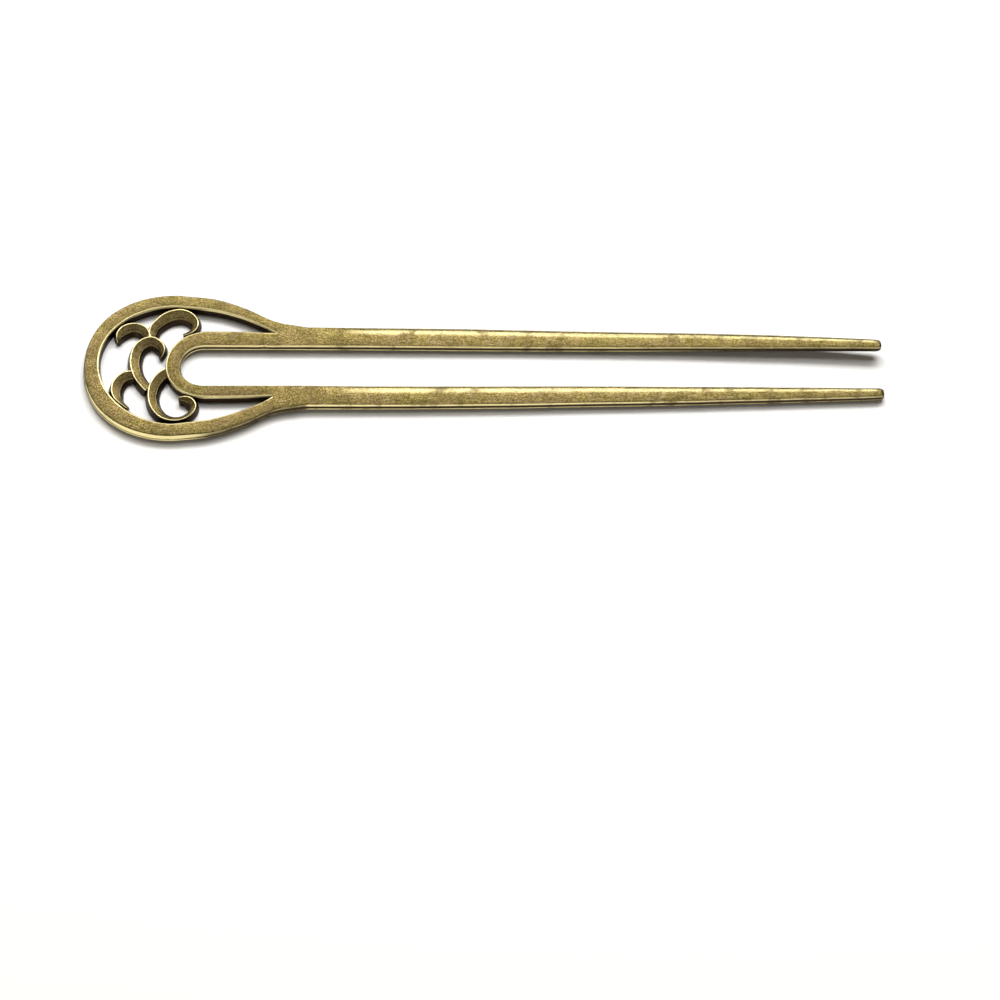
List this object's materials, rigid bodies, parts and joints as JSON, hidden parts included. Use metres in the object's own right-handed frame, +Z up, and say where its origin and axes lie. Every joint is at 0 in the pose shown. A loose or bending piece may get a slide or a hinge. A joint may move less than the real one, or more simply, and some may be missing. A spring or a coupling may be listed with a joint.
{
  "type": "u-shaped hair pin",
  "caption": "U-shaped hair pin in one casting: a rounded, pierced head with curled scrolls around the bow of the U, and long flat prongs that taper to blunt tips.",
  "frame": {"origin": "under the middle of the pin's box, on the face it rests on", "axes": "+X from the head towards the prong tips, +Y towards the far prong, +Z up through the thickness"},
  "size_m": [0.1564, 0.033, 0.0031],
  "materials": {
    "antique_bronze": "antique bronze plating, worn bright on the edges and dark in the recesses"
  },
  "bodies": {
    "root": {"hair_pin": "antique_bronze"}
  },
  "joints": []
}
